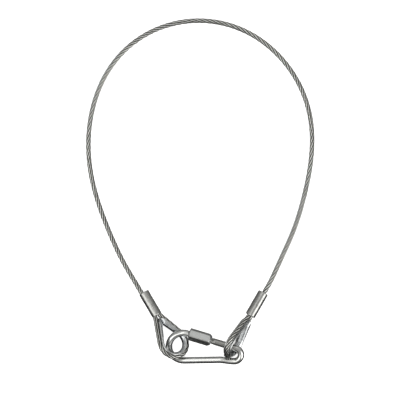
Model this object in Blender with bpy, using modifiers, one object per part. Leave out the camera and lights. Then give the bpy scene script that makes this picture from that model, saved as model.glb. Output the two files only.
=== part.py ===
"""Wire-rope tether: one steel rope bent into an egg-shaped loop, with a thimble eye and a pressed ferrule at each
end, and a pear-shaped wire link with a hexagonal sleeve nut that joins the two eyes.

The tether lies on a flat surface, z = 0. Metres, +Z up, origin at the middle of the tether's outline on that surface.
"""

import math

import bmesh
import bpy
import numpy as np
from mathutils import Matrix, Vector

MM = 0.001

# --- rope ---
ROPE_D = 3.0 * MM
ROPE_R = ROPE_D / 2
CLEAR = 0.3 * MM  # gap between neighbouring pieces
ROPE_SIDES = 2  # bevel resolution of a rope tube
ROPE_STEPS = 64  # straight pieces along the free span

# --- eyes: a circle of the rope's centre line round the thimble, closed by two straight legs ---
EYE_R = 8.9 * MM
THIMBLE_WALL = 0.85 * MM
THIMBLE_HALF = 2.65 * MM  # half the channel's width over its sides
THIMBLE_DEPTH = 2.8 * MM  # from the rope's centre line to the channel's skin, round the eye
THIMBLE_LIP = 0.85 * MM  # how far the lips stay back from the rope's centre line
THIMBLE_POINT = 13.0 * MM  # from the eye's centre to the point of the teardrop hole
THIMBLE_SPLIT = 0.15 * MM  # half the gap between the two legs' webs
THIMBLE_TIP = 17.4 * MM  # from the eye's centre to the ends of the thimble's legs
THIMBLE_TAPER = 11.0 * MM  # where the legs begin to narrow
THIMBLE_TIP_HALF = 1.2 * MM  # half the channel's width at the very tip
THIMBLE_TIP_WALL = 0.4 * MM
THIMBLE_STEPS = 6

# --- ferrules, measured from the eye's centre back along the eye's axis ---
FERRULE_NEAR = 19.5 * MM
FERRULE_LEN = 16.2 * MM
FERRULE_FAR = FERRULE_NEAR + FERRULE_LEN
FERRULE_R = 3.15 * MM
FERRULE_EDGE = 0.35 * MM
PRESSED_R = 1.0 * MM  # a rope leg squeezed inside the ferrule
PRESSED_OFFSET = 1.2 * MM  # each leg's distance from the ferrule's axis
PRESSED_HOLE_R = PRESSED_R + CLEAR
ROPE_EXIT_OFFSET = 1.5 * MM  # the free rope leaves beside the ferrule's axis

# --- where each eye lies: centre, heading of its axis from the ferrule to the round end, roll and pitch ---
LEFT_CENTRE = Vector((-16.44, -92.10, 6.68)) * MM
LEFT_HEADING = math.radians(-59.5)
LEFT_ROLL = math.radians(30)
RIGHT_CENTRE = Vector((20.62, -92.29, 9.78)) * MM
RIGHT_HEADING = math.radians(-120)
RIGHT_ROLL = math.radians(70)
EYE_PITCH = math.radians(5)  # the ferrule's end is the lower one

# --- the free span's route: points along its centre line, from the left ferrule round to the right one ---
ROUTE = [
    (-46.1, -44.5, 2.5),
    (-54.8, -26.3, 1.7),
    (-61.9, -7.7, 1.5),
    (-66.8, 11.6, 1.5),
    (-68.2, 31.5, 1.5),
    (-65.5, 51.2, 1.5),
    (-58.4, 69.8, 1.5),
    (-46.4, 85.8, 1.5),
    (-30.2, 97.3, 1.5),
    (-11.1, 103.4, 1.5),
    (8.8, 103.5, 1.5),
    (27.7, 97.7, 1.5),
    (44.3, 86.4, 1.5),
    (57.0, 71.2, 1.5),
    (65.2, 53.1, 1.5),
    (68.2, 33.3, 1.5),
    (66.7, 13.4, 1.5),
    (62.5, -6.1, 1.6),
    (56.3, -25.2, 2.1),
    (48.1, -43.4, 3.3),
]

# --- link: a big bow at the left, a small bulb at the right, in its own plane ---
WIRE_R = 2.0 * MM
BOW_CENTRE = Vector((-10.1, -94.5, 5.1)) * MM
BOW_R = 9.0 * MM
BULB_AT = 30.9 * MM  # from the bow's centre to the bulb's
BULB_R = 4.4 * MM
LINK_HEADING = math.atan2(-0.1555, 0.9878)
LINK_PITCH = math.radians(1.2)  # the bulb's end is the higher one
LINK_ROLL = math.radians(20)  # the nut's bar is the higher one
NECK = (24.5 * MM, -4.5 * MM)  # where the plain bar pinches in before the bulb

# --- sleeve nut, on the link's upper bar; distances run along that bar from the bow ---
NUT_FROM = 0.8 * MM
NUT_LEN = 14.0 * MM
NUT_FLATS = 7.0 * MM
NUT_CHAMFER = 0.6 * MM  # at the bow's end
NUT_END_R = 3.35 * MM
NUT_CONE = 1.85 * MM  # at the bulb's end
NUT_CONE_R = 2.75 * MM
NUT_BORE_R = WIRE_R + CLEAR
NUT_TURN = math.radians(15)  # how far the upper flat leans away from straight up
STUD_LEFT_END = 4.1 * MM
STUD_RIGHT_END = 9.5 * MM

# --- the link swings about the line of its upper bar, from where the bow hangs in the left eye to the bulb's shoulder ---
SWING_AT_BOW = math.radians(105)
SWING_AT_BAR = 29.4 * MM


def clear_scene():
    for obj in list(bpy.data.objects):
        bpy.data.objects.remove(obj, do_unlink=True)


def collection(name):
    made = bpy.data.collections.new(name)
    bpy.context.scene.collection.children.link(made)
    return made


def material(name, colour, roughness, metallic):
    made = bpy.data.materials.new(name)
    made.use_nodes = True
    shader = made.node_tree.nodes["Principled BSDF"]
    shader.inputs["Base Color"].default_value = (*colour, 1.0)
    shader.inputs["Roughness"].default_value = roughness
    shader.inputs["Metallic"].default_value = metallic
    return made


def frame_matrix(origin, x, y, z):
    return Matrix.Translation(origin) @ Matrix((x, y, z)).transposed().to_4x4()


def eye_frame(centre, heading, roll):
    """+X from the ferrule towards the eye's round end, +Y across the eye to its lower side, +Z out of the eye's plane."""
    along = Vector(
        (
            math.cos(heading) * math.cos(EYE_PITCH),
            math.sin(heading) * math.cos(EYE_PITCH),
            math.sin(EYE_PITCH),
        )
    )
    across = Vector((-math.sin(heading), math.cos(heading), 0.0))
    up = along.cross(across)
    lower = across * math.cos(roll) - up * math.sin(roll)
    normal = up * math.cos(roll) + across * math.sin(roll)
    return frame_matrix(centre, along, lower, normal)


def link_frame():
    """Origin at the bow's centre, +X to the bulb, +Y to the bar with the nut, +Z out of the link's plane."""
    along = Vector(
        (
            math.cos(LINK_HEADING) * math.cos(LINK_PITCH),
            math.sin(LINK_HEADING) * math.cos(LINK_PITCH),
            math.sin(LINK_PITCH),
        )
    )
    across = Vector((-math.sin(LINK_HEADING), math.cos(LINK_HEADING), 0.0))
    up = along.cross(across)
    return frame_matrix(
        BOW_CENTRE,
        along,
        across * math.cos(LINK_ROLL) + up * math.sin(LINK_ROLL),
        up * math.cos(LINK_ROLL) - across * math.sin(LINK_ROLL),
    )


def cubic_spline(points, start, end, steps):
    """Evenly spaced points on the smooth curve through the given points, with the given directions at its ends."""
    p = np.array([list(q) for q in points], float)
    h = np.linalg.norm(np.diff(p, axis=0), axis=1)
    t = np.concatenate([[0.0], np.cumsum(h)])
    n = len(p)
    a = np.zeros((n, n))
    b = np.zeros((n, 3))
    a[0, 0] = a[-1, -1] = 1.0
    b[0], b[-1] = np.array(start), np.array(end)
    for i in range(1, n - 1):
        a[i, i - 1], a[i, i], a[i, i + 1] = h[i], 2 * (h[i - 1] + h[i]), h[i - 1]
        b[i] = 3 * (
            h[i] * (p[i] - p[i - 1]) / h[i - 1] + h[i - 1] * (p[i + 1] - p[i]) / h[i]
        )
    m = np.linalg.solve(a, b)
    fine = []
    for i in range(n - 1):
        for u in np.linspace(0, 1, 40, endpoint=i == n - 2):
            fine.append(
                (2 * u**3 - 3 * u**2 + 1) * p[i]
                + (u**3 - 2 * u**2 + u) * h[i] * m[i]
                + (3 * u**2 - 2 * u**3) * p[i + 1]
                + (u**3 - u**2) * h[i] * m[i + 1]
            )
    fine = np.array(fine)
    s = np.concatenate([[0.0], np.cumsum(np.linalg.norm(np.diff(fine, axis=0), axis=1))])
    at = np.linspace(0, s[-1], steps + 1)
    return [Vector([np.interp(v, s, fine[:, k]) for k in range(3)]) for v in at]


def tube(name, points, radius, resolution, parts, made_of, radii=None, matrix=None):
    """A round wire or rope along the points."""
    data = bpy.data.curves.new(name, "CURVE")
    data.dimensions = "3D"
    data.bevel_depth = radius
    data.bevel_resolution = resolution
    data.use_fill_caps = True
    data.twist_mode = "MINIMUM"
    line = data.splines.new("POLY")
    line.points.add(len(points) - 1)
    for i, (spot, point) in enumerate(zip(line.points, points, strict=True)):
        spot.co = (*point, 1.0)
        spot.radius = radii[i] if radii else 1.0
    line.use_smooth = True
    data.materials.append(made_of)
    obj = bpy.data.objects.new(name, data)
    parts.objects.link(obj)
    if matrix is not None:
        obj.matrix_world = matrix
    return obj


def leg_angle():
    """The angle between the eye's axis and a straight leg, which ends beside the axis at the ferrule's mouth."""
    angle = math.radians(20)
    for _ in range(60):
        miss = EYE_R - FERRULE_NEAR * math.sin(angle) - ROPE_EXIT_OFFSET * math.cos(angle)
        angle += 0.6 * miss / FERRULE_NEAR
    return angle


def leg_height(back, angle):
    """A leg's distance from the eye's axis, at this distance back from the eye's centre."""
    return (EYE_R / math.cos(angle)) - back * math.tan(angle)


def eye_arc(angle, steps):
    """The round part of the eye, from the tangent point of the +Y leg round to that of the -Y leg."""
    first = math.pi / 2 + angle
    return [
        Vector((EYE_R * math.cos(first - 2 * first * i / steps), EYE_R * math.sin(first - 2 * first * i / steps), 0))
        for i in range(steps + 1)
    ]


def add_eye_rope(name, frame, live_side, parts, made_of):
    """The rope through the ferrule, round the thimble and back into the ferrule, where the dead end stops short."""
    angle = leg_angle()
    inside = [
        (FERRULE_FAR - 0.1 * MM, PRESSED_OFFSET, PRESSED_R),
        (FERRULE_FAR - 5.0 * MM, PRESSED_OFFSET, PRESSED_R),
        (FERRULE_NEAR + 5.0 * MM, PRESSED_OFFSET, PRESSED_R),
        (FERRULE_NEAR + 0.6 * MM, PRESSED_OFFSET, PRESSED_R),
    ]
    mouth = [
        (FERRULE_NEAR - 0.7 * MM, PRESSED_OFFSET + 0.15 * MM, PRESSED_R),
        (FERRULE_NEAR - 1.4 * MM, leg_height(FERRULE_NEAR - 1.4 * MM, angle) + 0.05 * MM, ROPE_R),
        (THIMBLE_TIP - 1.0 * MM, leg_height(THIMBLE_TIP - 1.0 * MM, angle), ROPE_R),
        (9.5 * MM, leg_height(9.5 * MM, angle), ROPE_R),
    ]
    leg = inside + mouth
    dead = [(FERRULE_FAR - 1.2 * MM, PRESSED_OFFSET, PRESSED_R)] + leg[1:]
    ends = {1: leg, -1: dead}
    points, radii = [], []
    for back, off, r in ends[live_side]:
        points.append(Vector((-back, live_side * off, 0)))
        radii.append(r / ROPE_R)
    arc = eye_arc(angle, 20)
    if live_side < 0:
        arc = arc[::-1]
        points, radii = [], []
        for back, off, r in leg:
            points.append(Vector((-back, -off, 0)))
            radii.append(r / ROPE_R)
    for p in arc:
        points.append(p)
        radii.append(1.0)
    for back, off, r in dead[::-1]:
        points.append(Vector((-back, -live_side * off, 0)))
        radii.append(r / ROPE_R)
    return tube(name, points, ROPE_R, ROPE_SIDES, parts, made_of, radii, frame)


def mesh_from(obj):
    """A mesh object in place of a curve, with its caps joined to its sides."""
    graph = bpy.context.evaluated_depsgraph_get()
    graph.update()
    data = bpy.data.meshes.new_from_object(obj.evaluated_get(graph))
    solid = bmesh.new()
    solid.from_mesh(data)
    bmesh.ops.remove_doubles(solid, verts=solid.verts, dist=1e-6)
    bmesh.ops.recalc_face_normals(solid, faces=solid.faces)
    solid.to_mesh(data)
    solid.free()
    name, matrix, home = obj.name, obj.matrix_world.copy(), obj.users_collection[0]
    bpy.data.objects.remove(obj, do_unlink=True)
    made = bpy.data.objects.new(name, data)
    home.objects.link(made)
    made.matrix_world = matrix
    return made


def thimble_depth(x, y, inward):
    """How far the web's inner skin lies from the rope's centre line, measured towards the hole.

    The hole is a teardrop: round at its end, with straight sides that meet in a point, past which the two legs' webs
    run side by side a little off the eye's axis.
    """
    hole_r = EYE_R - THIMBLE_DEPTH
    point = Vector((-THIMBLE_POINT, THIMBLE_SPLIT))
    if x > -hole_r * math.sin(math.asin(hole_r / THIMBLE_POINT)):
        return THIMBLE_DEPTH
    lean = math.asin(hole_r / THIMBLE_POINT)
    side = Vector((math.cos(lean), math.sin(lean)))  # from the point along the hole's side
    start = Vector((x, y))
    cross = inward.x * side.y - inward.y * side.x
    gap = point - start
    to_side = (gap.x * side.y - gap.y * side.x) / cross
    to_axis = (THIMBLE_SPLIT - y) / inward.y
    return max(THIMBLE_DEPTH, min(to_side, to_axis)) if x > -THIMBLE_POINT else min(to_side if to_side > 0 else to_axis, to_axis)


def thimble_section(depth, wall, reach):
    """One station's outline: the web's skin round to each lip, then back along the groove. u runs towards the hole."""
    outer, inner = [], []
    bulge = depth - THIMBLE_HALF
    low = max(-1.0, min(1.0, (THIMBLE_LIP - bulge) / THIMBLE_HALF))
    turn = min(math.acos(low) if bulge < THIMBLE_LIP else math.pi / 2, reach)
    straight = max(0.0, bulge - THIMBLE_LIP) if reach > math.pi / 2 - 0.01 else 0.0
    arc = THIMBLE_HALF * turn
    for i in range(THIMBLE_STEPS + 1):
        run = (arc + straight) * i / THIMBLE_STEPS
        angle, past = min(run, arc) / THIMBLE_HALF, max(0.0, run - arc)
        for made, half in ((outer, THIMBLE_HALF), (inner, THIMBLE_HALF - wall)):
            made.append((bulge + half * math.cos(angle) - past, half * math.sin(angle)))
    skin = [(u, -w) for u, w in outer[:0:-1]] + outer
    groove = inner[::-1] + [(u, -w) for u, w in inner[1:]]
    return skin + groove


def add_thimble(name, frame, parts, made_of):
    """A formed channel, open outwards, lofted round the teardrop; its legs thin and narrow to a blunt point."""
    angle = leg_angle()
    backs = [THIMBLE_TIP - (THIMBLE_TIP - EYE_R * math.sin(angle)) * i / 13 for i in range(14)]
    leg = [Vector((-b, leg_height(b, angle), 0)) for b in backs]
    arc = eye_arc(angle, 24)[1:-1]
    path = leg + arc + [Vector((p.x, -p.y, 0)) for p in reversed(leg)]
    rows = []
    for i, p in enumerate(path):
        ahead, behind = path[min(i + 1, len(path) - 1)], path[max(i - 1, 0)]
        tangent = (ahead - behind).normalized()
        inward = Vector((tangent.y, -tangent.x, 0))
        if inward.dot(p) > 0:
            inward = -inward
        depth = thimble_depth(p.x, abs(p.y), Vector((inward.x, -abs(inward.y)))) if p.x < 0 else THIMBLE_DEPTH
        taper = max(0.0, min(1.0, (-p.x - THIMBLE_TAPER) / (THIMBLE_TIP - THIMBLE_TAPER)))
        wall = THIMBLE_WALL + (THIMBLE_TIP_WALL - THIMBLE_WALL) * taper
        reach = math.pi + (math.asin(THIMBLE_TIP_HALF / THIMBLE_HALF) - math.pi) * min(1.0, taper * 1.0)
        rows.append([p + inward * u + Vector((0, 0, w)) for u, w in thimble_section(depth, wall, reach)])
    sides = len(rows[0])
    solid = bmesh.new()
    verts = [[solid.verts.new(v) for v in row] for row in rows]
    for low, high in zip(verts, verts[1:]):
        for j in range(sides):
            k = (j + 1) % sides
            solid.faces.new((low[j], low[k], high[k], high[j]))
    solid.faces.new(verts[0][::-1])
    solid.faces.new(verts[-1])
    bmesh.ops.recalc_face_normals(solid, faces=solid.faces)
    bmesh.ops.triangulate(solid, faces=[f for f in solid.faces if len(f.verts) > 4])
    data = bpy.data.meshes.new(name)
    solid.to_mesh(data)
    solid.free()
    data.materials.append(made_of)
    obj = bpy.data.objects.new(name, data)
    parts.objects.link(obj)
    obj.matrix_world = frame
    smooth(obj)
    return obj


def smooth(obj, degrees=35):
    obj.data.shade_smooth()
    obj.data.set_sharp_from_angle(angle=math.radians(degrees))


def cylinder(name, start, end, radius, sides, home, matrix=None):
    """A solid cylinder from start to end, in the matrix's frame."""
    axis = end - start
    bm = bmesh.new()
    bmesh.ops.create_cone(
        bm, cap_ends=True, segments=sides, radius1=radius, radius2=radius, depth=axis.length
    )
    data = bpy.data.meshes.new(name)
    bm.to_mesh(data)
    bm.free()
    obj = bpy.data.objects.new(name, data)
    home.objects.link(obj)
    turn = axis.to_track_quat("Z", "Y").to_matrix().to_4x4()
    place = Matrix.Translation((start + end) / 2) @ turn
    obj.matrix_world = (matrix or Matrix()) @ place
    return obj


def boolean(obj, cutter, operation="DIFFERENCE"):
    cutter.hide_render = True
    cutter.display_type = "WIRE"
    cut = obj.modifiers.new(operation.title() + "_" + cutter.name, "BOOLEAN")
    cut.operation = operation
    cut.solver = "EXACT"
    cut.object = cutter
    return cut


def add_ferrule(name, frame, parts, cutters, made_of):
    """A pressed sleeve: a plain round barrel with softly broken ends and a figure-eight hole for the two legs."""
    start, end = Vector((-FERRULE_FAR, 0, 0)), Vector((-FERRULE_NEAR, 0, 0))
    barrel = cylinder(name, start, end, FERRULE_R, 32, parts, frame)
    barrel.data.materials.append(made_of)
    edge = barrel.modifiers.new("Broken_ends", "BEVEL")
    edge.width = FERRULE_EDGE
    edge.segments = 2
    edge.limit_method = "ANGLE"
    edge.angle_limit = math.radians(60)
    over = Vector((2 * MM, 0, 0))
    for side, label in ((1, "a"), (-1, "b")):
        off = Vector((0, side * PRESSED_OFFSET, 0))
        hole = cylinder(
            f"{name}_hole_{label}", start - over + off, end + over + off, PRESSED_HOLE_R, 16, cutters, frame
        )
        boolean(barrel, hole)
    smooth(barrel)
    return barrel


def link_points():
    """The wire's centre line in the link's own plane, from the left stud round the bow and the bulb to the right stud."""
    lean = math.asin((BOW_R - BULB_R) / BULB_AT)  # the upper bar touches both rounds
    bar = Vector((math.cos(lean), -math.sin(lean), 0))
    bar_start = Vector((BOW_R * math.sin(lean), BOW_R * math.cos(lean), 0))
    bulb = Vector((BULB_AT, 0, 0))
    neck = Vector((*NECK, 0))
    # the plain bar leaves the bow as a tangent through the neck
    reach = math.hypot(neck.x, neck.y)
    low = math.atan2(neck.y, neck.x) - math.acos(BOW_R / reach)
    points = [bar_start + bar * s for s in (STUD_LEFT_END, STUD_LEFT_END - 0.35 * MM, STUD_LEFT_END - 1.6 * MM)]
    radii = [0.76, 0.97, 1.0]
    first, last = math.pi / 2 - lean, 2 * math.pi + low
    steps = 20
    for i in range(steps + 1):
        turn = first + (last - first) * i / steps
        points.append(Vector((BOW_R * math.cos(turn), BOW_R * math.sin(turn), 0)))
    foot = Vector((BOW_R * math.cos(low), BOW_R * math.sin(low), 0))
    points.append(foot.lerp(neck, 0.5))
    # from the neck the wire eases outwards into the bulb
    ease_from, ease_to = foot.lerp(neck, 0.94), math.radians(-72)
    land = bulb + Vector((BULB_R * math.cos(ease_to), BULB_R * math.sin(ease_to), 0))
    pull_a = (neck - foot).normalized() * 3.2 * MM
    pull_b = Vector((-math.sin(ease_to), math.cos(ease_to), 0)) * 5.2 * MM
    for i in range(9):
        u = i / 8
        points.append(
            (2 * u**3 - 3 * u**2 + 1) * ease_from
            + (u**3 - 2 * u**2 + u) * pull_a
            + (3 * u**2 - 2 * u**3) * land
            + (u**3 - u**2) * pull_b
        )
    steps = 12
    last = math.pi / 2 - lean
    for i in range(1, steps + 1):
        turn = ease_to + (last - ease_to) * i / steps
        points.append(bulb + Vector((BULB_R * math.cos(turn), BULB_R * math.sin(turn), 0)))
    bar_length = BULB_AT * math.cos(lean)
    points.append(bar_start + bar * (bar_length * 0.72))
    radii += [1.0] * (len(points) - len(radii))
    for s, r in ((STUD_RIGHT_END + 1.6 * MM, 1.0), (STUD_RIGHT_END + 0.35 * MM, 0.97), (STUD_RIGHT_END, 0.76)):
        points.append(bar_start + bar * s)
        radii.append(r)
    return points, radii, bar_start, bar


def add_nut(name, frame, parts, cutters, made_of):
    """A long hexagonal sleeve nut: a six-sided bar, chamfered at one end and coned at the other, with a hole right through."""
    _, _, bar_start, bar = link_points()
    turn = frame.to_3x3()
    start = frame @ (bar_start + bar * NUT_FROM)
    along = (turn @ bar).normalized()
    up = Vector((0, 0, 1)) - along * along.z
    up.normalize()
    side = up.cross(along)  # roughly +Y, away from the link's plain bar
    flat = up * math.cos(NUT_TURN) + side * math.sin(NUT_TURN)
    corner = Matrix.Rotation(math.radians(30), 3, along) @ flat
    place = frame_matrix(start + along * NUT_LEN / 2, corner, along.cross(corner), along)

    bm = bmesh.new()
    corner_r = NUT_FLATS / 2 / math.cos(math.radians(30))
    bmesh.ops.create_cone(bm, cap_ends=True, segments=6, radius1=corner_r, radius2=corner_r, depth=NUT_LEN)
    # the primitive's first corner is on its own axis: turn it on to +X
    first = max(bm.verts, key=lambda v: (round(v.co.x, 9), v.co.z)).co
    bmesh.ops.rotate(bm, verts=bm.verts, matrix=Matrix.Rotation(-math.atan2(first.y, first.x), 3, "Z"))
    data = bpy.data.meshes.new(name)
    bm.to_mesh(data)
    bm.free()
    nut = bpy.data.objects.new(name, data)
    parts.objects.link(nut)
    nut.matrix_world = place
    data.materials.append(made_of)

    half = NUT_LEN / 2
    profile = [
        (0, half),
        (NUT_CONE_R, half),
        (corner_r + 0.3 * MM, half - NUT_CONE * (corner_r + 0.3 * MM - NUT_CONE_R) / (corner_r - NUT_CONE_R)),
        (corner_r + 0.3 * MM, -half + NUT_CHAMFER * (corner_r + 0.3 * MM - NUT_END_R) / (corner_r - NUT_END_R)),
        (NUT_END_R, -half),
        (0, -half),
    ]
    shape = bpy.data.meshes.new(name + "_turning")
    shape.from_pydata([(r, 0, z) for r, z in profile], [(i, i + 1) for i in range(5)], [])
    turning = bpy.data.objects.new(name + "_turning", shape)
    cutters.objects.link(turning)
    turning.matrix_world = place
    screw = turning.modifiers.new("Turn", "SCREW")
    screw.steps = screw.render_steps = 36
    screw.use_merge_vertices = True
    screw.merge_threshold = 0.000001
    boolean(nut, turning, "INTERSECT")
    bore = cylinder(
        name + "_bore", Vector((0, 0, -half - 1 * MM)), Vector((0, 0, half + 1 * MM)), NUT_BORE_R, 20, cutters, place
    )
    boolean(nut, bore)
    return nut


def parent_to(piece, empty):
    bpy.context.view_layer.update()
    place = piece.matrix_world.copy()
    piece.parent = empty
    piece.matrix_parent_inverse = empty.matrix_world.inverted()
    piece.matrix_world = place


def axis_matrix(origin, direction):
    """A frame whose +Z runs along a joint's axis."""
    return Matrix.Translation(origin) @ direction.to_track_quat("Z", "Y").to_matrix().to_4x4()


def empty_at(name, matrix, home):
    made = bpy.data.objects.new(name, None)
    made.empty_display_size = 0.01
    home.objects.link(made)
    made.matrix_world = matrix
    return made


def main():
    clear_scene()
    parts = collection("wire_rope_tether")
    cutters = collection("cutters_and_guides")
    rope = material("galvanised_wire_rope", (0.34, 0.34, 0.32), 0.38, 0.95)
    alloy = material("pressed_aluminium", (0.42, 0.42, 0.40), 0.30, 1.0)
    channel = material("galvanised_sheet", (0.46, 0.47, 0.46), 0.28, 1.0)
    wire = material("zinc_plated_wire", (0.44, 0.45, 0.43), 0.22, 1.0)
    plated = material("zinc_plated_nut", (0.42, 0.43, 0.42), 0.24, 1.0)

    left = eye_frame(LEFT_CENTRE, LEFT_HEADING, LEFT_ROLL)
    right = eye_frame(RIGHT_CENTRE, RIGHT_HEADING, RIGHT_ROLL)
    link = link_frame()
    left_eye = empty_at("left_eye_frame", left, parts)
    right_eye = empty_at("right_eye_frame", right, parts)

    # the live leg is on the outer side of the loop at both ferrules: -Y at the left eye, +Y at the right one
    back = FERRULE_FAR + CLEAR
    leave = left @ Vector((-back, -ROPE_EXIT_OFFSET, 0))
    arrive = right @ Vector((-back, ROPE_EXIT_OFFSET, 0))
    left_out = -(left.to_3x3() @ Vector((1, 0, 0)))
    right_in = right.to_3x3() @ Vector((1, 0, 0))
    route = [leave, leave + left_out * 6 * MM]
    route += [Vector(p) * MM for p in ROUTE]
    route += [arrive - right_in * 6 * MM, arrive]
    span = cubic_spline(route, left_out, right_in, ROPE_STEPS)
    tube("rope_free_span", span, ROPE_R, ROPE_SIDES, parts, rope)

    for side, frame, live, holder in (("left", left, -1, left_eye), ("right", right, 1, right_eye)):
        for piece in (
            add_eye_rope(f"rope_{side}_eye", frame, live, parts, rope),
            add_thimble(f"{side}_thimble", frame, parts, channel),
            add_ferrule(f"{side}_ferrule", frame, parts, cutters, alloy),
        ):
            parent_to(piece, holder)

    points, radii, bar_start, bar = link_points()
    seat = link @ Vector((BOW_R * math.cos(SWING_AT_BOW), BOW_R * math.sin(SWING_AT_BOW), 0))
    shoulder = link @ (bar_start + bar * SWING_AT_BAR)
    swing = empty_at("link_swing_axis", axis_matrix(seat, shoulder - seat), parts)
    travel_from = link @ (bar_start + bar * NUT_FROM)
    travel = empty_at("nut_travel_axis", axis_matrix(travel_from, link.to_3x3() @ bar), parts)
    parent_to(travel, swing)
    body = tube("link_body", points, WIRE_R, 4, parts, wire, radii, link)
    parent_to(body, swing)
    nut = add_nut("sleeve_nut", link, parts, cutters, plated)
    parent_to(nut, travel)


main()
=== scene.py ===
"""The looks of the wire-rope tether: laid strands, formed thimbles, pressed ferrules, a bent wire link with cut threads
and a hexagonal sleeve nut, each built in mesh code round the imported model, with procedural metal materials.

Metres, +Z up. The route and the driving sizes repeat those of the design, so that every piece lies where its solid is.
"""

import math

import bpy
import numpy as np
from mathutils import Matrix, Vector


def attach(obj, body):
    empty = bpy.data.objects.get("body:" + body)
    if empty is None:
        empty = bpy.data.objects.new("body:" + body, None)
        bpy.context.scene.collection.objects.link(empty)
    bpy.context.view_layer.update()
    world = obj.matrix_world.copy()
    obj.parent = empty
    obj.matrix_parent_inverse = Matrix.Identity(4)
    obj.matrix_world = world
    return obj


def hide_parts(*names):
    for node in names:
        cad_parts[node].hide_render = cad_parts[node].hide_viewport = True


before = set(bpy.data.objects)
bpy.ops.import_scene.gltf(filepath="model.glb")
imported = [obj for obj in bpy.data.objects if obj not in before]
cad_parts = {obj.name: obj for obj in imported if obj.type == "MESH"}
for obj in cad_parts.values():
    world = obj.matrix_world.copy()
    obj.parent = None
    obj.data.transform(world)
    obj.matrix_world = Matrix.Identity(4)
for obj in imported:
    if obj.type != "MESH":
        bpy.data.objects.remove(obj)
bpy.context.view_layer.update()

MM = 0.001

# --- the design's sizes ---
ROPE_R = 1.5 * MM
CLEAR = 0.3 * MM
EYE_R = 8.9 * MM
THIMBLE_WALL = 0.85 * MM
THIMBLE_HALF = 2.65 * MM
THIMBLE_DEPTH = 2.8 * MM
THIMBLE_LIP = 0.85 * MM
THIMBLE_POINT = 13.0 * MM
THIMBLE_SPLIT = 0.15 * MM
THIMBLE_TIP = 18.0 * MM
THIMBLE_TAPER = 11.0 * MM
THIMBLE_TIP_HALF = 1.2 * MM
THIMBLE_TIP_WALL = 0.4 * MM
NEAR = 19.5 * MM
FAR = 35.7 * MM
FERRULE_R = 3.15 * MM
LEG_OFFSET = 1.5 * MM
PRESSED_OFFSET = 1.2 * MM
PRESSED_R = 1.02 * MM
LEFT = (Vector((-16.44, -92.10, 6.68)) * MM, math.radians(-59.5), math.radians(30))
RIGHT = (Vector((20.62, -92.29, 9.78)) * MM, math.radians(-120), math.radians(70))
EYE_PITCH = math.radians(5)
ROUTE = [
    (-46.1, -44.5, 2.5),
    (-54.8, -26.3, 1.7),
    (-61.9, -7.7, 1.5),
    (-66.8, 11.6, 1.5),
    (-68.2, 31.5, 1.5),
    (-65.5, 51.2, 1.5),
    (-58.4, 69.8, 1.5),
    (-46.4, 85.8, 1.5),
    (-30.2, 97.3, 1.5),
    (-11.1, 103.4, 1.5),
    (8.8, 103.5, 1.5),
    (27.7, 97.7, 1.5),
    (44.3, 86.4, 1.5),
    (57.0, 71.2, 1.5),
    (65.2, 53.1, 1.5),
    (68.2, 33.3, 1.5),
    (66.7, 13.4, 1.5),
    (62.5, -6.1, 1.6),
    (56.3, -25.2, 2.1),
    (48.1, -43.4, 3.3),
]
WIRE_R = 2.0 * MM
BOW_CENTRE = Vector((-10.1, -94.5, 5.1)) * MM
BOW_R = 9.0 * MM
BULB_AT = 30.9 * MM
BULB_R = 4.4 * MM
LINK_HEADING = math.atan2(-0.1555, 0.9878)
LINK_PITCH = math.radians(1.2)
LINK_ROLL = math.radians(20)
NECK = (24.5 * MM, -4.5 * MM)
NUT_FROM = 0.8 * MM
NUT_LEN = 14.0 * MM
NUT_FLATS = 7.0 * MM
NUT_CHAMFER = 0.6 * MM
NUT_END_R = 3.35 * MM
NUT_CONE = 1.85 * MM
NUT_CONE_R = 2.75 * MM
NUT_BORE_R = WIRE_R + CLEAR
NUT_TURN = math.radians(15)
STUD_LEFT_END = 4.1 * MM
STUD_RIGHT_END = 9.5 * MM

# --- what only the looks need ---
LAY = 22.0 * MM  # one turn of a strand round the rope
STRANDS = 6
STRAND_R = 0.325  # of the rope's radius
WIRE_LAY = 9.5 * MM  # one turn of a wire round its strand, the other way
LOBE_POINTS = 4  # round each wire's showing side
RING = 0.76 * MM
THREAD_PITCH = 0.7 * MM
THREAD_DEPTH = 0.36 * MM
WIRE_DIP = 0.13  # how far the line between two wires lies in, of the strand's radius


# ---------------------------------------------------------------- frames and paths


def frame_matrix(origin, x, y, z):
    return Matrix.Translation(origin) @ Matrix((x, y, z)).transposed().to_4x4()


def eye_frame(centre, heading, roll):
    """+X from the ferrule to the eye's round end, +Y across to its lower side, +Z out of its plane."""
    along = Vector(
        (math.cos(heading) * math.cos(EYE_PITCH), math.sin(heading) * math.cos(EYE_PITCH), math.sin(EYE_PITCH))
    )
    across = Vector((-math.sin(heading), math.cos(heading), 0.0))
    up = along.cross(across)
    lower = across * math.cos(roll) - up * math.sin(roll)
    normal = up * math.cos(roll) + across * math.sin(roll)
    return frame_matrix(centre, along, lower, normal)


def link_frame():
    """Origin at the bow's centre, +X to the bulb, +Y to the bar with the nut."""
    along = Vector(
        (
            math.cos(LINK_HEADING) * math.cos(LINK_PITCH),
            math.sin(LINK_HEADING) * math.cos(LINK_PITCH),
            math.sin(LINK_PITCH),
        )
    )
    across = Vector((-math.sin(LINK_HEADING), math.cos(LINK_HEADING), 0.0))
    up = along.cross(across)
    return frame_matrix(
        BOW_CENTRE,
        along,
        across * math.cos(LINK_ROLL) + up * math.sin(LINK_ROLL),
        up * math.cos(LINK_ROLL) - across * math.sin(LINK_ROLL),
    )


def lengths(points):
    return np.concatenate([[0.0], np.cumsum(np.linalg.norm(np.diff(points, axis=0), axis=1))])


def resample(points, at):
    s = lengths(points)
    return np.stack([np.interp(at, s, points[:, k]) for k in range(3)], axis=1)


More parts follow.
